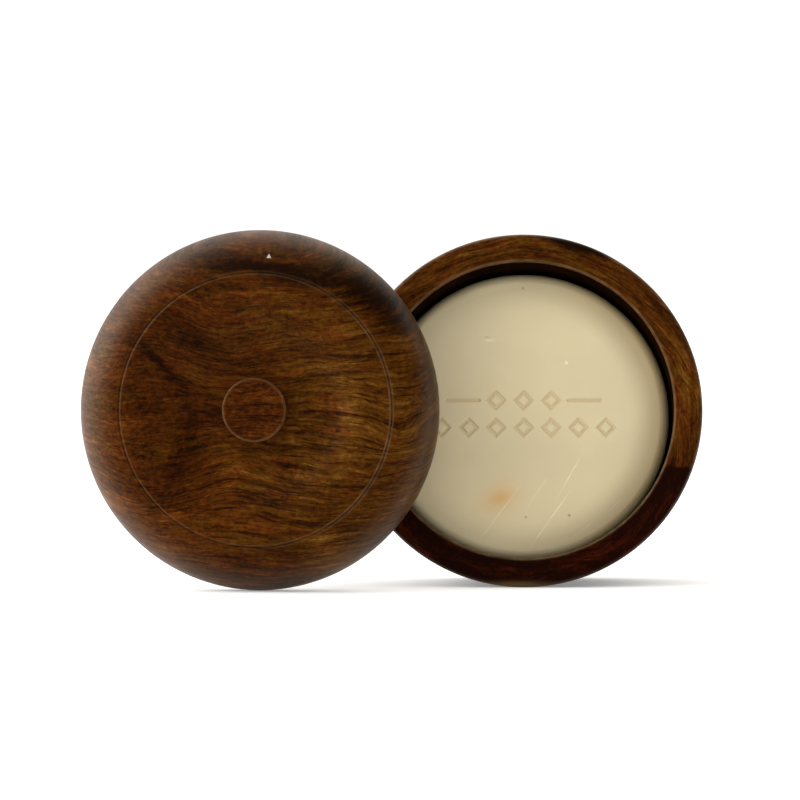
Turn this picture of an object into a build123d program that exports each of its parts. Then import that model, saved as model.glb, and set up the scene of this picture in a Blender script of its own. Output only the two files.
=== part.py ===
from build123d import *
import os
from math import cos, radians, sin, sqrt, tan

# Turned wooden shaving bowl with its lid off, and the puck of shaving soap in the bowl.
# The bowl lies on its tapered flank with its mouth forward, and the lid stands on edge in front
# of its left rim. Millimetres, +Z up, -Y forward, and the origin under the middle of the pieces.

# Arrangement. Yaw turns a face to the left, tilt turns it upward.
bowl_tilt = 10.6
bowl_yaw = 1.3
lid_tilt = 1.8
lid_yaw = 4.3
bowl_x = 36.45
bowl_mouth_y = -7.6
lid_x = -36.85
lid_y = -25.2

# Bowl
bowl_radius = 50.0
bowl_height = 42.0
mouth_radius = 42.0
recess_depth = 30.0
rim_outer_round = 1.5
rim_inner_round = 0.7
recess_corner_round = 2.0
foot_round = 7.0
foot_hollow_radius = 30.0
foot_hollow_depth = 2.2
foot_hollow_flare = 1.2

# Soap
soap_radius = 41.1
soap_thickness = 19.0
soap_edge_round = 2.8
soap_seat_gap = 0.1
soap_sag = 0.35
stamp_depth = 0.35
stamp_rise = 0.7
stamp_pitch = 7.8
stamp_lozenge_outer = 2.9
stamp_lozenge_inner = 1.6
stamp_top_count = 3
stamp_bottom_count = 7
stamp_line_length = 10.0
stamp_line_width = 1.0
stamp_line_offset = 17.2

# Lid, measured up from the face that sits on the bowl's rim
lid_radius = 49.65
lid_widest_height = 2.6
lid_seat_round = 2.5
lid_crest_radius = 35.0
lid_crest_height = 15.3
dish_floor_radius = 12.0
dish_floor_height = 11.3
groove_radius = 37.5
groove_width = 0.9
groove_depth = 0.4
spigot_radius = 41.3
spigot_length = 4.0
spigot_wall = 5.0
spigot_round = 0.8
lid_hollow_height = 4.5
lid_hollow_round = 4.0
knob_radius = 8.8
knob_waist_radius = 7.4
knob_waist_height = 12.9
knob_shoulder_height = 15.6
knob_height = 18.0
knob_edge_round = 0.8
knob_root_round = 1.2


def facing(yaw, tilt):
    """Direction of a turning axis: straight forward (-Y), then turned left and tilted up."""
    across = cos(radians(tilt))
    return Vector(-sin(radians(yaw)) * across, -cos(radians(yaw)) * across, sin(radians(tilt)))


def turning_plane(origin, axis):
    """Sketch plane with its Y along a turning axis and its X to the side."""
    side = Vector(0, 0, 1).cross(axis)
    return Plane(origin=origin, x_dir=side, z_dir=side.cross(axis))


def corner_at(sketch, x, y):
    """The corner of a profile nearest to a point."""
    return sketch.vertices().sort_by_distance((x, y))[0]


# The flank's taper equals the bowl's tilt, so that the bowl lies steadily along one line of it.
flank_taper = tan(radians(bowl_tilt))
rim_corner_radius = bowl_radius + rim_outer_round * (flank_taper + 1 / cos(radians(bowl_tilt)) - 1)
flank_foot_radius = rim_corner_radius - bowl_height * flank_taper
bowl_axis = facing(bowl_yaw, bowl_tilt)
bowl_mouth_z = flank_foot_radius * cos(radians(bowl_tilt)) + bowl_height * bowl_axis.Z
bowl_foot = Vector(bowl_x, bowl_mouth_y, bowl_mouth_z) - bowl_axis * bowl_height
bowl_plane = turning_plane(bowl_foot, bowl_axis)
recess_floor = bowl_height - recess_depth

with BuildPart() as bowl:
    with BuildSketch(bowl_plane) as bowl_profile:
        with BuildLine():
            Polyline(
                (0, foot_hollow_depth),
                (foot_hollow_radius, foot_hollow_depth),
                (foot_hollow_radius + foot_hollow_flare, 0),
                (flank_foot_radius, 0),
                (rim_corner_radius, bowl_height),
                (mouth_radius, bowl_height),
                (mouth_radius, recess_floor),
                (0, recess_floor),
                close=True,
            )
        make_face()
        fillet(corner_at(bowl_profile, flank_foot_radius, 0), foot_round)
        fillet(corner_at(bowl_profile, rim_corner_radius, bowl_height), rim_outer_round)
        fillet(corner_at(bowl_profile, mouth_radius, bowl_height), rim_inner_round)
        fillet(corner_at(bowl_profile, mouth_radius, recess_floor), recess_corner_round)
    revolve(axis=Axis(bowl_foot, bowl_axis))
bowl.part.label = "bowl"

# The soap lies loose on the recess floor, a little low in it. Its stamp is two plain rows: lines and lozenges.
soap_base = bowl_foot + bowl_axis * (recess_floor + soap_seat_gap) + bowl_plane.z_dir * soap_sag
soap_top = soap_base + bowl_axis * soap_thickness
soap_plane = turning_plane(soap_base, bowl_axis)
stamp_plane = Plane(origin=soap_top, x_dir=soap_plane.x_dir, z_dir=bowl_axis)

with BuildPart() as soap:
    with BuildSketch(soap_plane) as soap_profile:
        Rectangle(soap_radius, soap_thickness, align=(Align.MIN, Align.MIN))
        fillet(corner_at(soap_profile, soap_radius, 0), soap_edge_round)
        fillet(corner_at(soap_profile, soap_radius, soap_thickness), soap_edge_round)
    revolve(axis=Axis(soap_base, bowl_axis))
    with BuildSketch(stamp_plane):
        for count, row in ((stamp_top_count, 0.5), (stamp_bottom_count, -0.5)):
            with Locations((0, stamp_rise + row * stamp_pitch)):
                with GridLocations(stamp_pitch, 0, count, 1):
                    RegularPolygon(stamp_lozenge_outer, 4)
                    RegularPolygon(stamp_lozenge_inner, 4, mode=Mode.SUBTRACT)
        with Locations((0, stamp_rise + 0.5 * stamp_pitch)):
            with GridLocations(2 * stamp_line_offset, 0, 2, 1):
                SlotOverall(stamp_line_length, stamp_line_width)
    extrude(amount=-stamp_depth, mode=Mode.SUBTRACT)
soap.part.label = "soap_puck"

# Lid and knob are turned from one blank. The top rises to a crest and falls in an ogee to the
# dish round the knob, and a fine groove is cut just outside the crest.
lid_axis = facing(lid_yaw, lid_tilt)
lid_edge_lift = lid_seat_round + (lid_widest_height - lid_seat_round) * lid_axis.Z
lid_widest_z = (lid_radius - lid_seat_round) * cos(radians(lid_tilt)) + lid_edge_lift
lid_seat = Vector(lid_x, lid_y, lid_widest_z) - lid_axis * lid_widest_height
lid_plane = turning_plane(lid_seat, lid_axis)
spigot_inner_radius = spigot_radius - spigot_wall
shoulder_reach = lid_radius - lid_crest_radius
shoulder_rise = lid_crest_height - lid_widest_height
ogee_middle = ((lid_crest_radius + dish_floor_radius) / 2, (lid_crest_height + dish_floor_height) / 2)
groove_share = (groove_radius - lid_crest_radius) / shoulder_reach
groove_height = lid_widest_height + shoulder_rise * sqrt(1 - groove_share**2)

with BuildPart() as lid:
    with BuildSketch(lid_plane) as lid_profile:
        with BuildLine():
            Polyline(
                (0, knob_height),
                (0, lid_hollow_height),
                (spigot_inner_radius, lid_hollow_height),
                (spigot_inner_radius, -spigot_length),
                (spigot_radius, -spigot_length),
                (spigot_radius, 0),
                (lid_radius, 0),
                (lid_radius, lid_widest_height),
            )
            EllipticalCenterArc(
                (lid_crest_radius, lid_widest_height),
                shoulder_reach,
                shoulder_rise,
                start_angle=0,
                arc_size=90,
            )
            fall = TangentArc((lid_crest_radius, lid_crest_height), ogee_middle, tangent=(-1, 0))
            TangentArc(ogee_middle, (dish_floor_radius, dish_floor_height), tangent=fall % 1)
            Polyline(
                (dish_floor_radius, dish_floor_height),
                (knob_waist_radius, dish_floor_height),
                (knob_waist_radius, knob_waist_height),
                (knob_radius, knob_shoulder_height),
                (knob_radius, knob_height),
                (0, knob_height),
            )
        make_face()
        fillet(corner_at(lid_profile, spigot_inner_radius, lid_hollow_height), lid_hollow_round)
        fillet(corner_at(lid_profile, spigot_radius, -spigot_length), spigot_round)
        fillet(corner_at(lid_profile, spigot_inner_radius, -spigot_length), spigot_round)
        fillet(corner_at(lid_profile, lid_radius, 0), lid_seat_round)
        fillet(corner_at(lid_profile, knob_radius, knob_height), knob_edge_round)
        fillet(corner_at(lid_profile, knob_waist_radius, dish_floor_height), knob_root_round)
    revolve(axis=Axis(lid_seat, lid_axis))
    with BuildSketch(lid_plane):
        with BuildLine():
            Polyline(
                (groove_radius, groove_height - groove_depth),
                (groove_radius + groove_width, groove_height + groove_depth),
                (groove_radius - groove_width, groove_height + groove_depth),
                close=True,
            )
        make_face()
    revolve(axis=Axis(lid_seat, lid_axis), mode=Mode.SUBTRACT)
lid.part.label = "lid"

os.makedirs("parts", exist_ok=True)
for piece in (bowl, soap, lid):
    export_step(piece.part, f"parts/{piece.part.label}.step")
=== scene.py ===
from math import cos, pi, radians, sin, sqrt, tan

import bpy
import numpy as np
from mathutils import Matrix, Vector


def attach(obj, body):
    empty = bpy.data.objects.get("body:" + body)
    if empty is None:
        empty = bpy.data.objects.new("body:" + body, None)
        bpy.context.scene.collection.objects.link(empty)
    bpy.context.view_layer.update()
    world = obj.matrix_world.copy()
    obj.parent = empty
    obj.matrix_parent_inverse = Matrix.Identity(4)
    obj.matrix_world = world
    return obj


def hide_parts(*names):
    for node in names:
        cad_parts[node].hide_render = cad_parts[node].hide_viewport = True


# A turned wooden shaving bowl, the soap in it and its lid: fine meshes and node materials on the CAD frame.
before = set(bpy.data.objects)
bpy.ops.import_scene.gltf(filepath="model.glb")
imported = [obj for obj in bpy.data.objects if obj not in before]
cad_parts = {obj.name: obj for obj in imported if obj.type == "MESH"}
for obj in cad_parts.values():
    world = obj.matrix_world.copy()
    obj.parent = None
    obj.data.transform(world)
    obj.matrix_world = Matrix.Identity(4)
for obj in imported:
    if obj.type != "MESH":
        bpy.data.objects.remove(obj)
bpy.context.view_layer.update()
MM = 0.001

# Where each piece's turning axis runs: yaw turns it to the left, tilt turns it upward.
BOWL_TILT = 10.6
BOWL_YAW = 1.3
LID_TILT = 1.8
LID_YAW = 4.3


def facing(yaw, tilt):
    """Direction of a turning axis, straight forward (-Y) before it is turned and tilted."""
    across = cos(radians(tilt))
    return Vector((-sin(radians(yaw)) * across, -cos(radians(yaw)) * across, sin(radians(tilt))))


def axis_frame(origin_mm, axis):
    """Matrix with its Z along a turning axis, its X to the viewer's right and its origin on the axis."""
    side = Vector((0, 0, 1)).cross(axis).normalized()
    upward = axis.cross(side)
    turn = Matrix((side, upward, axis)).transposed().to_4x4()
    return Matrix.Translation(Vector(origin_mm) * MM) @ turn


# ---------------------------------------------------------------- outlines, in mm as (radius, height)

RUN_STEP = 0.8
ARC_STEP_DEGREES = 6
SAME_POINT = 1e-4


def rounded(corners):
    """Points along a line through corners (radius, height, rounding), with an arc at each corner."""
    ends = []
    for i, (x, y, rounding) in enumerate(corners):
        here = np.array((x, y), float)
        if rounding == 0 or i in (0, len(corners) - 1):
            ends.append([here])
            continue
        before = np.array(corners[i - 1][:2], float) - here
        after = np.array(corners[i + 1][:2], float) - here
        before /= np.linalg.norm(before)
        after /= np.linalg.norm(after)
        half = np.arccos(np.clip(before @ after, -1, 1)) / 2
        middle = here + (before + after) / np.linalg.norm(before + after) * rounding / sin(half)
        start = here + before * rounding / tan(half) - middle
        stop = here + after * rounding / tan(half) - middle
        sweep = pi - 2 * half
        count = max(4, int(sweep * 180 / pi / ARC_STEP_DEGREES))
        across = (stop - start * cos(sweep)) / sin(sweep)
        turns = [sweep * k / count for k in range(count + 1)]
        ends.append([middle + start * cos(t) + across * sin(t) for t in turns])
    points = list(ends[0])
    for group in ends[1:]:
        last = points[-1]
        pieces = max(1, int(np.linalg.norm(group[0] - last) / RUN_STEP))
        points += [last + (group[0] - last) * k / pieces for k in range(1, pieces)]
        points += group
    keep = [points[0]]
    for p in points[1:]:
        if np.linalg.norm(p - keep[-1]) > SAME_POINT:
            keep.append(p)
    return np.array(keep)


def turned(name, outline, place, turns=360):
    """A closed mesh of revolution round local Z. The outline starts and ends on the axis."""
    rings = outline[1:-1]
    angle = np.linspace(0, 2 * pi, turns, endpoint=False)
    x = rings[:, :1] * np.cos(angle)
    y = rings[:, :1] * np.sin(angle)
    z = np.repeat(rings[:, 1:], turns, axis=1)
    body = np.stack([x, y, z], axis=-1).reshape(-1, 3)
    poles = np.array([[0, 0, outline[0][1]], [0, 0, outline[-1][1]]])
    count = len(rings)
    faces = []
    for k in range(count - 1):
        a = k * turns
        b = a + turns
        faces += [(a + i, a + (i + 1) % turns, b + (i + 1) % turns, b + i) for i in range(turns)]
    first = count * turns
    last = (count - 1) * turns
    faces += [(first, (i + 1) % turns, i) for i in range(turns)]
    faces += [(first + 1, last + i, last + (i + 1) % turns) for i in range(turns)]
    return solid(name, np.vstack([body, poles]), faces, place)


def solid(name, points_mm, faces, place):
    """A smooth-shaded object from points in mm, in the frame of the piece."""
    mesh = bpy.data.meshes.new(name)
    mesh.from_pydata((np.asarray(points_mm) * MM).tolist(), [], faces)
    mesh.transform(place)
    mesh.polygons.foreach_set("use_smooth", [True] * len(mesh.polygons))
    mesh.update()
    obj = bpy.data.objects.new(name, mesh)
    bpy.context.scene.collection.objects.link(obj)
    return obj


# ---------------------------------------------------------------- bowl

BOWL_X = 36.45
BOWL_MOUTH_Y = -7.6
BOWL_RADIUS = 50.0
BOWL_HEIGHT = 42.0
MOUTH_RADIUS = 42.0
MOUTH_ROUND = 0.7
RECESS_FLOOR = 12.0
RECESS_ROUND = 2.0
RIM_ROUND = 1.5
FOOT_ROUND = 7.0
FOOT_RING_RADIUS = 31.2
FOOT_HOLLOW_RADIUS = 30.0
FOOT_HOLLOW_DEPTH = 2.2
FOOT_EDGE_ROUND = 0.5
taper = tan(radians(BOWL_TILT))
rim_corner = BOWL_RADIUS + RIM_ROUND * (taper + 1 / cos(radians(BOWL_TILT)) - 1)
flank_foot = rim_corner - BOWL_HEIGHT * taper

bowl_axis = facing(BOWL_YAW, BOWL_TILT)
bowl_lift = flank_foot * cos(radians(BOWL_TILT)) + BOWL_HEIGHT * bowl_axis.z
bowl_mouth = Vector((BOWL_X, BOWL_MOUTH_Y, bowl_lift))
bowl_place = axis_frame(bowl_mouth - bowl_axis * BOWL_HEIGHT, bowl_axis)

bowl = turned("turned_bowl", rounded([
    (0, FOOT_HOLLOW_DEPTH, 0),
    (FOOT_HOLLOW_RADIUS, FOOT_HOLLOW_DEPTH, FOOT_EDGE_ROUND),
    (FOOT_RING_RADIUS, 0, FOOT_EDGE_ROUND),
    (flank_foot, 0, FOOT_ROUND),
    (rim_corner, BOWL_HEIGHT, RIM_ROUND),
    (MOUTH_RADIUS, BOWL_HEIGHT, MOUTH_ROUND),
    (MOUTH_RADIUS, RECESS_FLOOR, RECESS_ROUND),
    (0, RECESS_FLOOR, 0),
]), bowl_place)

# ---------------------------------------------------------------- lid

LID_X = -36.85
LID_Y = -25.2
LID_RADIUS = 49.65
WIDEST = 2.6
SEAT_ROUND = 2.5
CREST_RADIUS = 35.0
CREST_HEIGHT = 15.3
DISH_RADIUS = 12.0
DISH_HEIGHT = 11.3
GROOVE_RADIUS = 37.5
GROOVE_HALF = 0.45
GROOVE_DEPTH = 0.4
KNOB_RADIUS = 8.8
KNOB_WAIST = 7.4
KNOB_WAIST_TOP = 12.9
KNOB_WIDEST = 15.6
KNOB_TOP = 18.0
HOLLOW_RADIUS = 36.3
HOLLOW_TOP = 4.5
SPIGOT_RADIUS = 41.3
SPIGOT_LENGTH = 4.0
SPIGOT_ROUND = 0.8

lid_axis = facing(LID_YAW, LID_TILT)
lid_lift = (LID_RADIUS - SEAT_ROUND) * cos(radians(LID_TILT))
lid_lift += SEAT_ROUND + (WIDEST - SEAT_ROUND) * lid_axis.z
lid_place = axis_frame(Vector((LID_X, LID_Y, lid_lift)) - lid_axis * WIDEST, lid_axis)

half_fall = (CREST_HEIGHT - DISH_HEIGHT) / 2
half_run = (CREST_RADIUS - DISH_RADIUS) / 2
ogee_radius = (half_run**2 + half_fall**2) / (2 * half_fall)


def lid_top(radius):
    """Height of the lid's top: a shoulder outside the crest, and inside it an ogee down to the dish."""
    if radius > CREST_RADIUS:
        share = (radius - CREST_RADIUS) / (LID_RADIUS - CREST_RADIUS)
        return WIDEST + (CREST_HEIGHT - WIDEST) * sqrt(max(1 - share**2, 0))
    if radius > DISH_RADIUS + half_run:
        return CREST_HEIGHT - ogee_radius + sqrt(ogee_radius**2 - (CREST_RADIUS - radius) ** 2)
    return DISH_HEIGHT + ogee_radius - sqrt(ogee_radius**2 - max(radius - DISH_RADIUS, 0) ** 2)


shoulder_end = pi / 2 - 1.3 * (GROOVE_RADIUS + GROOVE_HALF - CREST_RADIUS) / (LID_RADIUS - CREST_RADIUS)
outside = [CREST_RADIUS + (LID_RADIUS - CREST_RADIUS) * cos(t) for t in np.linspace(0, shoulder_end, 60)]
inside = np.linspace(GROOVE_RADIUS - GROOVE_HALF - 0.5, KNOB_WAIST + 1.6, 70)
groove = [
    (GROOVE_RADIUS + GROOVE_HALF, lid_top(GROOVE_RADIUS + GROOVE_HALF), 0.14),
    (GROOVE_RADIUS, lid_top(GROOVE_RADIUS) - GROOVE_DEPTH, 0.06),
    (GROOVE_RADIUS - GROOVE_HALF, lid_top(GROOVE_RADIUS - GROOVE_HALF), 0.14),
]

lid = turned("turned_lid", rounded([
    (0, HOLLOW_TOP, 0),
    (HOLLOW_RADIUS, HOLLOW_TOP, 4.0),
    (HOLLOW_RADIUS, -SPIGOT_LENGTH, SPIGOT_ROUND),
    (SPIGOT_RADIUS, -SPIGOT_LENGTH, SPIGOT_ROUND),
    (SPIGOT_RADIUS, 0, 0.15),
    (LID_RADIUS, 0, SEAT_ROUND),
    *((r, lid_top(r), 0) for r in outside),
    *groove,
    *((r, lid_top(r), 0) for r in inside),
    (KNOB_WAIST, DISH_HEIGHT, 1.2),
    (KNOB_WAIST, KNOB_WAIST_TOP, 0),
    (KNOB_RADIUS, KNOB_WIDEST, 0.5),
    (KNOB_RADIUS, KNOB_TOP, 0.8),
    (0, KNOB_TOP, 0),
]), lid_place)

# ---------------------------------------------------------------- soap

SOAP_RADIUS = 41.1
SOAP_THICK = 19.0
SOAP_ROUND = 2.8
SOAP_GAP = 0.1
SOAP_SAG = 0.35
recess_centre = bowl_mouth - bowl_axis * (BOWL_HEIGHT - RECESS_FLOOR - SOAP_GAP)
bowl_upward = Vector(bowl_place.col[1][:3])
soap_place = axis_frame(recess_centre - bowl_upward * SOAP_SAG, bowl_axis)

# Scratches and nicks in the face: middle, half length, half width, angle in degrees, depth.
SCRATCHES = (
    (7.1, -29.8, 8.5, 0.17, 55.0, 0.10),
    (13.0, -16.9, 6.7, 0.14, 60.8, 0.05),
    (-6.7, -27.6, 8.4, 0.15, 53.4, 0.07),
    (4.0, -21.4, 4.4, 0.13, 56.3, 0.04),
    (16.8, -32.0, 3.2, 0.13, 36.0, 0.05),
    (25.1, -25.6, 3.3, 0.13, 42.9, 0.08),
)
NICK = (-9.9, 22.7)
NICK_DEPTH = 0.14
STAMP_DEPTH = 0.35
STAMP_SLOPE = 0.35
STAMP_RISE = 0.7
STAMP_PITCH = 7.8
LOZENGE_MIDDLE = 2.25
LOZENGE_STROKE = 0.65
LINE_OFFSET = 17.2
LINE_HALF = 4.5
LINE_STROKE = 0.5


def stamp_gap(x, y):
    """Distance in mm from the stamp's strokes, negative inside them."""
    gap = np.full_like(x, 9.0)
    for count, row in ((3, 0.5), (7, -0.5)):
        rise = STAMP_RISE + row * STAMP_PITCH
        for k in range(count):
            across = np.abs(x - (k - (count - 1) / 2) * STAMP_PITCH) + np.abs(y - rise)
            gap = np.minimum(gap, (np.abs(across - LOZENGE_MIDDLE) - LOZENGE_STROKE) / sqrt(2))
    rise = STAMP_RISE + 0.5 * STAMP_PITCH
    beyond = np.maximum(np.abs(np.abs(x) - LINE_OFFSET) - LINE_HALF, 0)
    return np.minimum(gap, np.hypot(beyond, y - rise) - LINE_STROKE)


def soap_relief(x, y):
    """Height in mm of the soap's worn, stamped face above a flat one, never above it."""
    waves = 0.05 * np.sin(0.11 * x + 1.3) * np.sin(0.09 * y + 0.4)
    relief = waves + 0.03 * np.sin(0.23 * x - 0.17 * y) - 0.09
    relief -= STAMP_DEPTH * np.clip(0.5 - stamp_gap(x, y) / STAMP_SLOPE, 0, 1)
    for cx, cy, length, width, angle, deep in SCRATCHES:
        turn = radians(angle)
        along = (x - cx) * cos(turn) + (y - cy) * sin(turn)
        across = (y - cy) * cos(turn) - (x - cx) * sin(turn)
        relief -= deep * np.exp(-((along / length) ** 4) - (across / width) ** 2)
    along = x - NICK[0]
    across = y - NICK[1] - 0.12 * along**2
    return relief - NICK_DEPTH * np.exp(-((along / 1.2) ** 4) - (across / 0.35) ** 2)


cake = rounded([
    (0, 0, 0),
    (SOAP_RADIUS, 0, SOAP_ROUND),
    (SOAP_RADIUS, SOAP_THICK, SOAP_ROUND),
    (SOAP_RADIUS - SOAP_ROUND - 0.1, SOAP_THICK, 0),
])
face = [(r, SOAP_THICK) for r in np.linspace(SOAP_RADIUS - SOAP_ROUND - 0.3, 0, 260)]
soap = turned("soap_cake", np.vstack([cake, face]), Matrix.Identity(4), turns=720)
points = np.empty(len(soap.data.vertices) * 3)
soap.data.vertices.foreach_get("co", points)
points = points.reshape(-1, 3) / MM
top = points[:, 2] > SOAP_THICK - 1e-3
fade = np.clip((SOAP_RADIUS - SOAP_ROUND - np.hypot(points[:, 0], points[:, 1])) / 1.5, 0, 1)
points[top, 2] += (soap_relief(points[:, 0], points[:, 1]) * fade)[top]
soap.data.vertices.foreach_set("co", (points * MM).ravel())
soap.data.transform(soap_place)
soap.data.update()

for piece, body, node, finish in (
    (bowl, "bowl_body", "bowl", "bowl_wood"),
    (lid, "lid_body", "lid", "lid_wood"),
    (soap, "soap_body", "soap_puck", "soap"),
):
    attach(piece, body)
    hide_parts(node)


# ---------------------------------------------------------------- materials


class Graph:
    """One node material, with short calls for the nodes it is made of. A piece's own frame is in mm."""

    def __init__(self, name, place=None):
        self.material = bpy.data.materials.new(name)
        self.material.use_nodes = True
        self.tree = self.material.node_tree
        self.shader = self.tree.nodes["Principled BSDF"]
        if place is not None:
            back = place.inverted()
            coordinates = self.node("ShaderNodeTexCoord").outputs["Object"]
            mapped = self.node("ShaderNodeMapping", {"Vector": coordinates})
            mapped.inputs["Location"].default_value = back.to_translation() / MM
            mapped.inputs["Rotation"].default_value = back.to_euler()
            mapped.inputs["Scale"].default_value = (1 / MM,) * 3
            self.point = mapped.outputs["Vector"]
            split = self.node("ShaderNodeSeparateXYZ", {"Vector": self.point})
            self.x, self.y, self.z = split.outputs

    def node(self, kind, inputs=None, **settings):
        made = self.tree.nodes.new(kind)
        for key, value in settings.items():
            setattr(made, key, value)
        for key, value in (inputs or {}).items():
            if isinstance(value, bpy.types.NodeSocket):
                self.tree.links.new(value, made.inputs[key])
            else:
                made.inputs[key].default_value = value
        return made

    def math(self, operation, a, b=0.0):
        return self.node("ShaderNodeMath", {0: a, 1: b}, operation=operation).outputs[0]

    def add(self, a, b):
        return self.math("ADD", a, b)

    def sub(self, a, b):
        return self.math("SUBTRACT", a, b)

    def mul(self, a, b):
        return self.math("MULTIPLY", a, b)

    def vector(self, x, y, z):
        return self.node("ShaderNodeCombineXYZ", {0: x, 1: y, 2: z}).outputs[0]

    def noise(self, vector, scale=1.0, detail=3.0, rough=0.5):
        inputs = {"Vector": vector, "Scale": scale, "Detail": detail, "Roughness": rough}
        return self.node("ShaderNodeTexNoise", inputs).outputs[0]

    def remap(self, value, low, high, to_low=0.0, to_high=1.0):
        inputs = {0: value, 1: low, 2: high, 3: to_low, 4: to_high}
        return self.node("ShaderNodeMapRange", inputs, interpolation_type="SMOOTHSTEP").outputs[0]

    def mix(self, amount, a, b, mode="MIX"):
        made = self.node("ShaderNodeMix", {0: amount, 6: a, 7: b}, data_type="RGBA", blend_type=mode)
        return made.outputs[2]

    def blend(self, amount, a, b):
        """A number between a and b."""
        return self.node("ShaderNodeMix", {0: amount, 2: a, 3: b}, data_type="FLOAT").outputs[0]

    def ramp(self, value, stops):
        made = self.node("ShaderNodeValToRGB", {0: value})
        marks = made.color_ramp.elements
        while len(marks) < len(stops):
            marks.new(0.5)
        for mark, (place, colour) in zip(marks, stops):
            mark.position = place
            mark.color = (*colour, 1)
        return made.outputs[0]

    def radius(self):
        return self.math("SQRT", self.add(self.mul(self.x, self.x), self.mul(self.y, self.y)))

    def patch(self, x, y, length, width, angle=0.0, bent=None, even=False):
        """1 at a place on the face, falling to 0 over an ellipse whose long side lies at an angle.

        A bent Y makes it follow the grain. An even patch keeps its strength along its length.
        """
        turn = radians(angle)
        dx = self.sub(self.x, x)
        dy = self.sub(self.y if bent is None else bent, y)
        along = self.add(self.mul(dx, cos(turn) / length), self.mul(dy, sin(turn) / length))
        across = self.add(self.mul(dx, -sin(turn) / width), self.mul(dy, cos(turn) / width))
        lengthwise = self.mul(along, along)
        if even:
            lengthwise = self.mul(lengthwise, lengthwise)
        reach = self.add(lengthwise, self.mul(across, across))
        return self.math("EXPONENT", self.mul(reach, -1.0))

    def ring(self, radius, middle, width):
        """1 on a circle round the turning axis, falling to 0 on both sides."""
        away = self.math("DIVIDE", self.sub(radius, middle), width)
        return self.math("EXPONENT", self.mul(self.mul(away, away), -1.0))

    def darkened(self, tone, marks, bent=None):
        """A tone less the marks on the face: middle, half length, half width, angle, how much darker."""
        for x, y, length, width, angle, dark in marks:
            tone = self.sub(tone, self.mul(self.patch(x, y, length, width, angle, bent), dark))
        return tone

    def finish(self, colour, rough, height=None, bump=0.2, depth=0.1, **values):
        """Wires the surface. height is a field of 0 to 1, and depth its size in mm."""
        for key, value in {"Base Color": colour, "Roughness": rough, **values}.items():
            if isinstance(value, bpy.types.NodeSocket):
                self.tree.links.new(value, self.shader.inputs[key])
            else:
                self.shader.inputs[key].default_value = value
        if height is not None:
            made = self.node("ShaderNodeBump", {"Strength": bump, "Distance": depth * MM, "Height": height})
            self.tree.links.new(made.outputs[0], self.shader.inputs["Normal"])
        return self.material


# Colours of the wood from its darkest to its lightest grain.
WOOD_STOPS = (
    (0.00, (0.0070, 0.0018, 0.0004)),
    (0.25, (0.0230, 0.0060, 0.0007)),
    (0.50, (0.0485, 0.0141, 0.0011)),
    (0.75, (0.0890, 0.0308, 0.0036)),
    (1.00, (0.160, 0.0680, 0.0145)),
)
# The wood's hue wanders between these two.
RED_CAST = (1.08, 0.88, 0.90, 1)
GOLD_CAST = (0.97, 1.05, 0.90, 1)


def wood(graph, across, side, seed, tone, warmth=0.0, lines=0.5, calm=0.0):
    """Colour, roughness and relief of oiled rosewood.

    The grain varies with across, and slowly with X and side. Tone, about 0, shifts it lighter or darker,
    warmth from red to gold, lines from 0 to 1 draws more long dark lines, and calm from 0 to 1 turns
    streaks into mottle.
    """
    g = graph
    layer = g.add(across, g.mul(g.z, 0.45))

    def grain(along, over, number, **settings):
        depth = g.add(g.mul(side, along), seed + number)
        return g.noise(g.vector(g.mul(g.x, along), g.mul(layer, over), depth), **settings)

    bands = grain(0.035, 0.11, 0, detail=3, rough=0.55)
    streaks = grain(0.07, 0.50, 3, detail=4, rough=0.60)
    fibres = grain(0.14, 1.45, 7, detail=4, rough=0.65)
    ridge = grain(0.045, 0.26, 11, detail=4, rough=0.6)
    veins = g.remap(g.math("ABSOLUTE", g.sub(ridge, 0.5)), 0.0, 0.025, 1.0, 0.0)
    pores = g.remap(grain(0.34, 2.3, 17, detail=2), 0.58, 0.68)
    drawn = g.remap(grain(0.06, 0.95, 37, detail=3, rough=0.55), 0.57, 0.64)
    mottle = grain(0.65, 0.95, 23, detail=4, rough=0.70)
    value = g.add(0.50, tone)
    # Each field's share of the grain, in streaked and in calm wood.
    for field, streaked, calmed in (
        (bands, 0.60, 0.60),
        (streaks, 1.05, 0.60),
        (fibres, 0.76, 0.50),
        (mottle, 0.85, 1.30),
    ):
        value = g.add(value, g.mul(g.sub(field, 0.5), g.blend(calm, streaked, calmed)))
    value = g.sub(value, g.mul(veins, 0.16))
    value = g.sub(value, g.mul(pores, 0.22))
    value = g.sub(value, g.mul(g.mul(drawn, lines), 0.34))
    colour = g.ramp(value, WOOD_STOPS)
    red = g.mix(1.0, colour, RED_CAST, "MULTIPLY")
    gold = g.mix(1.0, colour, GOLD_CAST, "MULTIPLY")
    hue = g.add(grain(0.12, 0.30, 29, detail=4, rough=0.6), warmth)
    colour = g.mix(g.remap(hue, 0.40, 0.60), red, gold)
    rough = g.remap(fibres, 0.3, 0.7, 0.50, 0.38)
    relief = g.sub(g.mul(fibres, 0.5), g.mul(pores, 0.6))
    return colour, rough, relief


SHEEN = (1.0, 0.91, 0.66, 1)
GLOSS_SEEN_STRAIGHT = 0.025
GLOSS_SEEN_ASLANT = 0.30
WOOD_BUMP = 0.35
PORE_DEPTH = 0.12


def polish(graph, most=GLOSS_SEEN_ASLANT):
    """Gloss of oil worked into the wood: next to none seen straight on, and a sheen where the surface turns
    away.
    """
    turned_away = graph.node("ShaderNodeLayerWeight", {"Blend": 0.5}).outputs["Facing"]
    return graph.remap(turned_away, 0.02, 0.45, GLOSS_SEEN_STRAIGHT, most)


def oiled(graph, colour, rough, relief, gloss):
    shine = {"Specular IOR Level": gloss, "Specular Tint": SHEEN}
    return graph.finish(colour, rough, relief, bump=WOOD_BUMP, depth=PORE_DEPTH, **shine)
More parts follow.
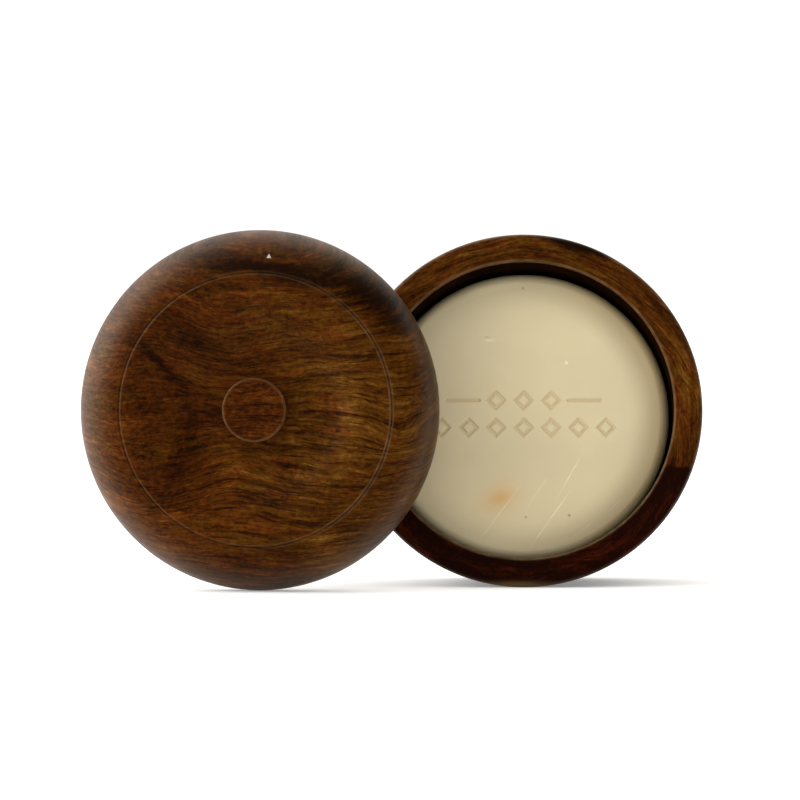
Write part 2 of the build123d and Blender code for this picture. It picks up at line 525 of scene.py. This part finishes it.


# Marks in the lid's wood, with painted light and shade on the shoulder and dish where noted below, lighter
# ones negative: middle, half length, half width, angle, how much darker.
LID_MARKS = (
    (8.0, 39.0, 22.0, 2.6, -9.0, 0.60),
    (33.0, 30.5, 12.0, 3.8, -38.0, 0.50),
    (-27.0, 13.0, 8.5, 1.3, -50.0, 0.42),
    (-17.0, 20.0, 9.0, 4.5, -38.0, 0.20),
    (-18.5, -2.0, 9.0, 3.0, 96.0, 0.24),
    (-22.0, -16.0, 9.0, 3.5, 50.0, 0.18),
    (21.0, 8.8, 14.0, 0.7, 3.0, 0.34),
    (28.0, 14.5, 9.0, 0.6, -8.0, 0.24),
    (7.5, -9.2, 9.0, 0.45, -5.0, 0.34),
    (26.0, -19.8, 6.0, 0.55, -2.0, 0.36),
    (-4.0, -24.0, 9.0, 0.8, 14.0, 0.20),
    (3.0, -16.0, 17.0, 5.0, 0.0, -0.13),
    (24.0, 12.0, 12.0, 4.0, -4.0, -0.10),
    (42.0, -4.0, 5.0, 12.0, 0.0, -0.16),
    (-18.0, 31.0, 6.0, 1.3, -22.0, -0.20),
    (-13.0, 33.0, 10.0, 6.0, 12.0, 0.24),
    (-27.0, 12.5, 9.0, 4.5, -25.0, 0.13),
    (-12.0, 2.0, 4.5, 10.0, 0.0, 0.10),
    (16.0, -10.0, 13.0, 5.5, -3.0, -0.15),
    (20.5, -34.0, 6.0, 4.5, 10.0, -0.22),
    (-26.0, 25.0, 4.5, 4.0, 0.0, 0.13),
    (-33.0, 8.0, 3.5, 6.5, 0.0, 0.09),
    (-17.0, -13.5, 6.5, 4.0, 0.0, 0.11),
    (-5.5, 12.5, 4.5, 3.0, 0.0, -0.10),
    (14.0, -1.5, 4.0, 4.0, 0.0, -0.11),
    # Painted sheen: lighter on the left and lower-left shoulder, where the light from the left falls.
    (-46.0, 5.0, 7.0, 20.0, 0.0, -0.15),
    (-38.0, -25.0, 14.0, 8.0, -40.0, -0.12),
    # Painted shade on the dish's left slope, which turns from the light, and a painted highlight on its
    # right slope, which faces it.
    (-28.0, -2.0, 8.0, 16.0, 0.0, 0.14),
    (25.0, -4.0, 4.5, 12.0, 0.0, -0.32),
    # Darker wood on the knob.
    (0.0, 0.0, 8.0, 8.0, 0.0, 0.17),
)
EDGE_WEAR_HIGHLIGHT_GOLD = (0.150, 0.082, 0.030, 1)
EDGE_WEAR_HIGHLIGHT_PALE = (0.20, 0.125, 0.070, 1)
PALE_SPOT = (3.6, 42.0)
PALE_SPOT_COLOUR = (0.40, 0.355, 0.29, 1)
PINHOLE = (22.3, -5.6)
PINHOLE_COLOUR = (0.008, 0.003, 0.001, 1)


def lid_wood():
    g = Graph("lid_rosewood", lid_place)
    radius = g.radius()
    sway = g.noise(g.vector(g.mul(g.x, 0.022), g.mul(g.y, 0.035), g.mul(g.z, 0.03)), detail=2)
    ripple = g.noise(g.vector(g.mul(g.x, 0.10), g.mul(g.y, 0.12), g.mul(g.z, 0.08)), detail=3)
    bent = g.add(g.y, g.add(g.mul(g.sub(sway, 0.5), 9.0), g.mul(g.sub(ripple, 0.5), 1.0)))
    # The grain falls to the right in the upper left, and runs round an eye near the right edge.
    falling = g.mul(g.patch(-19.0, 16.0, 17.0, 12.0), g.mul(g.add(g.x, 19.0), 0.55))
    rising = g.mul(g.patch(-16.0, -18.0, 15.0, 11.0), g.mul(g.add(g.x, 16.0), -0.27))
    eye = g.mul(g.patch(40.0, -6.0, 6.5, 5.5), 3.2)
    across = g.add(bent, g.add(g.add(falling, rising), eye))
    tone = g.darkened(0.0, LID_MARKS, bent)
    lines = g.remap(g.add(g.mul(g.x, 0.7), g.mul(g.y, -0.7)), -24.0, 20.0, 0.15, 0.85)
    knob = g.remap(radius, KNOB_RADIUS + 0.3, KNOB_RADIUS - 0.3)
    calm = g.add(g.remap(g.x, -2.0, -30.0, 0.0, 0.75), g.mul(g.patch(14.0, 20.0, 14.0, 9.0), 0.6))
    calm = g.math("MAXIMUM", calm, g.mul(knob, 0.9))
    # More golden to the right and redder on the knob; the patch on the left shoulder turns it more golden as
    # part of the painted sheen there.
    warmth = g.add(g.sub(g.mul(g.x, 0.003), g.mul(knob, 0.16)), g.mul(g.patch(-45.0, 2.0, 8.0, 24.0), 0.16))
    colour, rough, relief = wood(g, across, g.z, 4.0, tone, warmth, lines, calm)
    # Paler edges, partly wear and partly painted highlight: the lips of the groove and the rim of the knob.
    # They are golden on the left, paler to the right, and stronger towards the lower right.
    worn = g.noise(g.point, scale=0.35, detail=3)
    edge_wear_highlight = g.mix(g.remap(g.x, 10.0, 34.0), EDGE_WEAR_HIGHLIGHT_GOLD, EDGE_WEAR_HIGHLIGHT_PALE)
    dull = 0.0
    for middle, width, amount in (
        (GROOVE_RADIUS - GROOVE_HALF, 0.20, 0.34),
        (GROOVE_RADIUS + GROOVE_HALF, 0.20, 0.16),
        (KNOB_RADIUS - 0.3, 0.34, 0.50),
    ):
        edge = g.mul(g.ring(radius, middle, width), g.remap(worn, 0.35, 0.65, 0.4, 1.0))
        edge = g.mul(edge, g.remap(g.z, 14.0, 14.4))
        edge = g.mul(edge, g.remap(g.sub(g.x, g.y), -20.0, 40.0, 0.65, 1.15))
        colour = g.mix(g.mul(edge, amount), colour, edge_wear_highlight)
        dull = g.math("MAXIMUM", dull, edge)
    # A small pale triangular spot near the top edge, and a pinhole.
    spot_x = g.math("ABSOLUTE", g.sub(g.x, PALE_SPOT[0]))
    spot_y = g.sub(g.y, PALE_SPOT[1])
    spot = g.math("MINIMUM", g.add(spot_y, 0.5), g.sub(0.75, g.add(spot_y, g.mul(spot_x, 2.0))))
    spot = g.mul(g.remap(spot, -0.12, 0.12), g.remap(g.z, 4.0, 6.0))
    colour = g.mix(spot, colour, PALE_SPOT_COLOUR)
    colour = g.mix(g.patch(*PINHOLE, 0.55, 0.55), colour, PINHOLE_COLOUR)
    # The oil is dull on the paler edges and in two places on the right shoulder.
    upper_right = g.mul(g.patch(33.0, 30.5, 14.0, 7.0, -38.0), 0.75)
    right = g.mul(g.patch(41.5, 11.0, 4.5, 8.0, 15.0), 0.60)
    dull = g.math("MAXIMUM", g.add(upper_right, right), g.mul(dull, 0.80))
    return oiled(g, colour, rough, relief, g.mul(polish(g), g.sub(1.0, dull)))


# Marks in the bowl's wood, as for the lid.
BOWL_MARKS = (
    (-20.0, 41.0, 16.0, 3.0, 22.0, -0.14),
    (45.0, 2.0, 3.0, 14.0, -8.0, -0.20),
    (34.0, 30.0, 8.0, 4.0, -42.0, -0.06),
    (47.2, 8.0, 0.8, 13.0, -4.0, 0.16),
    (36.0, -29.0, 7.0, 2.2, 52.0, -0.12),
    (-31.0, -36.0, 10.0, 2.2, -42.0, -0.22),
    (18.0, -42.0, 10.0, 2.4, 24.0, -0.18),
    (-3.5, 45.5, 8.0, 3.0, 0.0, -0.17),
    (44.0, 14.0, 3.0, 6.0, 15.0, -0.11),
    (42.5, -16.5, 5.0, 3.5, 0.0, 0.16),
    (46.0, -6.0, 4.0, 4.5, 0.0, 0.10),
)
HEARTWOOD_CAST = (1.0, 0.52, 0.75, 1)
RECESS_PAINTED_SHADE = (0.004, 0.002, 0.001, 1)
RIM_EDGE_WEAR_HIGHLIGHT = (0.155, 0.090, 0.036, 1)
FLOOR_LIT_WORN_EDGE = (0.150, 0.085, 0.034, 1)


def bowl_wood():
    g = Graph("bowl_rosewood", bowl_place)
    radius = g.radius()
    sway = g.noise(g.vector(g.mul(g.x, 0.02), g.mul(g.y, 0.03), g.mul(g.z, 0.04)), detail=2)
    # The grain runs round the rim in wide arcs, and nearly straight across the foot.
    low = g.add(g.y, 8.0)
    arcs = g.math("SQRT", g.add(g.mul(g.x, g.x), g.mul(low, low)))
    layers = g.blend(g.remap(g.z, BOWL_HEIGHT - 2.0, 4.0, 0.0, 0.9), arcs, g.y)
    across = g.add(layers, g.mul(g.sub(sway, 0.5), 22.0))
    # Dark heartwood fills the lower part. Its edge is sharp on the rim and melts away down the flank.
    border = g.add(g.mul(g.x, -0.08), g.add(g.mul(g.sub(sway, 0.5), 5.0), -12.6))
    depth = g.remap(g.z, BOWL_HEIGHT - 0.5, BOWL_HEIGHT - 12.0)
    ragged = g.sub(g.noise(g.point, scale=0.09, detail=4), 0.5)
    border = g.add(border, g.mul(g.mul(ragged, depth), 24.0))
    heart = g.remap(g.math("DIVIDE", g.sub(g.y, border), g.add(g.mul(depth, 5.0), 0.9)), -1.0, 1.0, 1.0, 0.0)
    # A dark pocket lies at the top right of the rim.
    pocket = g.patch(16.0, 46.4, 10.0, 1.4, -17.0)
    tone = g.sub(g.mul(heart, -0.50), g.mul(pocket, 0.75))
    tone = g.darkened(tone, BOWL_MARKS)
    colour, rough, relief = wood(g, across, g.y, 31.0, tone)
    colour = g.mix(heart, colour, g.mix(1.0, colour, HEARTWOOD_CAST, "MULTIPLY"))
    # Painted shade darkens the recess below the rim.
    within = g.remap(radius, MOUTH_RADIUS + 0.3, MOUTH_RADIUS + 0.1)
    within = g.mul(within, g.remap(g.z, BOWL_HEIGHT - 0.5, BOWL_HEIGHT - 1.5))
    within = g.mul(within, g.remap(g.z, RECESS_FLOOR - 2.0, RECESS_FLOOR - 1.0))
    colour = g.mix(g.mul(within, 0.88), colour, RECESS_PAINTED_SHADE)
    # The rim's inner edge is paler: partly wear, partly a painted highlight.
    worn = g.noise(g.point, scale=0.35, detail=3)
    edge = g.mul(g.ring(radius, MOUTH_RADIUS + 0.35, 0.30), g.remap(worn, 0.35, 0.65, 0.3, 0.7))
    edge = g.mul(edge, g.remap(g.z, BOWL_HEIGHT - 0.8, BOWL_HEIGHT - 0.3))
    colour = g.mix(edge, colour, RIM_EDGE_WEAR_HIGHLIGHT)
    # The outer edge is paler where the bowl touches the floor: partly wear, partly painted light from the
    # floor.
    colour = g.mix(g.mul(g.patch(-2.0, -49.4, 9.0, 0.9), 0.5), colour, FLOOR_LIT_WORN_EDGE)
    dull = g.math("MAXIMUM", g.math("MAXIMUM", within, g.mul(pocket, 0.85)), g.mul(edge, 0.6))
    return oiled(g, colour, rough, relief, polish(g, g.mul(g.sub(1.0, dull), GLOSS_SEEN_ASLANT)))


CREAM_DARK = (0.635, 0.540, 0.335, 1)
CREAM_LIGHT = (0.665, 0.568, 0.35, 1)
CREAM_LOW_PAINTED_LIGHT = (0.775, 0.655, 0.40, 1)
GRIT_COLOUR = (0.56, 0.44, 0.24, 1)
STAMP_COLOUR = (0.50, 0.36, 0.17, 1)
SCRATCH_COLOUR = (0.95, 0.90, 0.72, 1)
NICK_LIGHT = (0.92, 0.86, 0.66, 1)
NICK_DARK = (0.40, 0.31, 0.16, 1)
SPECK_DARK = (0.16, 0.09, 0.03, 1)
SPECK_PALE = (0.95, 0.92, 0.80, 1)
STAIN_COLOUR = (0.70, 0.40, 0.12, 1)
SOAP_EDGE_SHADE = (0.35, 0.26, 0.125, 1)
# Dark specks: middle, size, strength.
SPECKS = ((-0.2, 36.7, 0.34, 0.6), (12.8, -28.2, 0.36, 0.7), (0.6, -28.7, 0.32, 0.6))


def soap_paste():
    g = Graph("milled_soap", soap_place)
    radius = g.radius()
    cloud = g.noise(g.point, scale=0.05, detail=3)
    grit = g.noise(g.point, scale=0.9, detail=4, rough=0.6)
    worn = g.noise(g.point, scale=0.25, detail=2)
    colour = g.mix(g.remap(cloud, 0.35, 0.65), CREAM_DARK, CREAM_LIGHT)
    # Painted light: the face turns lighter towards its lower edge.
    colour = g.mix(g.remap(g.y, -8.0, -38.0), colour, CREAM_LOW_PAINTED_LIGHT)
    colour = g.mix(g.mul(g.remap(grit, 0.6, 0.75), 0.12), colour, GRIT_COLOUR)
    # The stamp's strokes are darker and the scratches paler. Painted shade darkens the rounded edge, most on
    # the right.
    stamped = g.mul(g.remap(g.z, SOAP_THICK - 0.18, SOAP_THICK - 0.34), g.remap(radius, 37.5, 37.0))
    colour = g.mix(g.mul(stamped, 0.50), colour, STAMP_COLOUR)
    for x, y, length, width, angle, deep in SCRATCHES:
        mark = g.mul(g.patch(x, y, length, width, angle, even=True), g.remap(worn, 0.40, 0.60, 0.45, 1.0))
        colour = g.mix(g.mul(mark, 5.0 * deep + 0.40), colour, SCRATCH_COLOUR)
    nick_x, nick_y = NICK
    colour = g.mix(g.mul(g.patch(nick_x + 0.2, nick_y - 0.9, 1.3, 0.40), 0.4), colour, NICK_LIGHT)
    colour = g.mix(g.mul(g.patch(nick_x - 0.5, nick_y, 0.8, 0.28), 0.5), colour, NICK_DARK)
    for x, y, size, amount in SPECKS:
        colour = g.mix(g.mul(g.patch(x, y, size, size), amount), colour, SPECK_DARK)
    colour = g.mix(g.mul(g.patch(12.1, 15.3, 0.4, 0.4), 0.6), colour, SPECK_PALE)
    # One rusty stain with a paler halo, below the stamp.
    halo = g.mul(g.patch(-6.8, -23.4, 5.4, 3.6, 25.0), 0.55)
    core = g.mul(g.patch(-6.5, -23.3, 2.4, 1.6, 25.0), 0.30)
    colour = g.mix(g.add(halo, core), colour, STAIN_COLOUR)
    right_edge_shade = g.mul(g.remap(radius, 29.0, 40.0), g.remap(g.x, -10.0, 30.0, 0.15, 1.0))
    colour = g.mix(g.mul(right_edge_shade, 0.90), colour, SOAP_EDGE_SHADE)
    waxy = {"Subsurface Weight": 0.10, "Subsurface Scale": 0.0015, "Subsurface Radius": (1.0, 0.6, 0.3)}
    return g.finish(colour, 0.50, grit, bump=0.10, depth=0.12, **waxy)


FLOOR_GLOW = 0.20


def painted_floor():
    """The pale floor of a light table, which keeps shadows thin."""
    g = Graph("floor_paint")
    paint = g.noise(g.node("ShaderNodeTexCoord").outputs["Object"], scale=40.0, detail=2)
    colour = g.mix(paint, (0.92, 0.92, 0.92, 1), (0.94, 0.94, 0.94, 1))
    return g.finish(colour, 0.9, **{"Emission Color": (1, 1, 1, 1), "Emission Strength": FLOOR_GLOW})


bowl.data.materials.append(bowl_wood())
lid.data.materials.append(lid_wood())
soap.data.materials.append(soap_paste())

# ---------------------------------------------------------------- floor, light and camera

bpy.ops.mesh.primitive_plane_add(size=60, location=(0, 0, 0))
floor = bpy.context.object
floor.name = "floor"
floor.data.materials.append(painted_floor())

SKY_COLOUR = (1.0, 0.975, 0.93, 1)
LIT_POINT = (0, 0, 0.05)

scene = bpy.context.scene
scene.view_settings.view_transform = "Standard"
world = bpy.data.worlds.new("studio")
scene.world = world
world.use_nodes = True
sky = world.node_tree
direction = sky.nodes.new("ShaderNodeTexCoord").outputs["Generated"]
parts = sky.nodes.new("ShaderNodeSeparateXYZ")
sky.links.new(direction, parts.inputs[0])


def sky_ramp(axis, low, high, dim, bright):
    """Brightness that rises along one axis of the sky."""
    made = sky.nodes.new("ShaderNodeMapRange")
    made.interpolation_type = "SMOOTHSTEP"
    sky.links.new(parts.outputs[axis], made.inputs[0])
    for number, value in enumerate((low, high, dim, bright), start=1):
        made.inputs[number].default_value = value
    return made.outputs[0]


def sky_math(operation, a, b):
    made = sky.nodes.new("ShaderNodeMath")
    made.operation = operation
    sky.links.new(a, made.inputs[0])
    sky.links.new(b, made.inputs[1])
    return made.outputs[0]


# The sky is bright behind, above and to the left of the object, and softer to its right.
behind = sky_ramp("Y", -0.25, 0.30, 0.12, 1.10)
overhead = sky_ramp("Z", 0.30, 0.85, 0.0, 0.90)
to_left = sky_ramp("X", -0.35, -0.85, 0.0, 1.15)
to_right = sky_ramp("X", 0.15, 0.75, 1.0, 0.72)
beside = sky_math("MULTIPLY", sky_ramp("X", 0.30, 0.80, 0.0, 0.95), sky_ramp("Z", 0.10, 0.45, 1.0, 0.0))
brightness = sky_math("MULTIPLY", sky_math("ADD", sky_math("ADD", behind, overhead), to_left), to_right)
brightness = sky_math("ADD", brightness, beside)
sky.links.new(brightness, sky.nodes["Background"].inputs["Strength"])
sky.nodes["Background"].inputs["Color"].default_value = SKY_COLOUR


def soft_light(name, place, width, height, watts):
    """A soft box that shines at the middle of the object."""
    data = bpy.data.lights.new(name, "AREA")
    data.shape = "RECTANGLE"
    data.size = width
    data.size_y = height
    data.energy = watts
    light = bpy.data.objects.new(name, data)
    scene.collection.objects.link(light)
    light.location = place
    light.rotation_euler = (Vector(LIT_POINT) - Vector(place)).to_track_quat("-Z", "Y").to_euler()


soft_light("key_left", (-1.05, -0.35, 0.60), 1.0, 1.0, 11.0)
soft_light("front", (-0.30, -1.30, 0.80), 1.4, 1.0, 3.4)

CAMERA_PLACE = (0.0018, -1.2045, 0.0833)
CAMERA_PITCH = 88.5
CAMERA_LENS = 192.6

camera_data = bpy.data.cameras.new("camera")
camera = bpy.data.objects.new("camera", camera_data)
scene.collection.objects.link(camera)
scene.camera = camera
camera_data.sensor_width = 36
camera_data.lens = CAMERA_LENS
camera_data.clip_end = 100
camera.location = CAMERA_PLACE
camera.rotation_euler = (radians(CAMERA_PITCH), 0, 0)
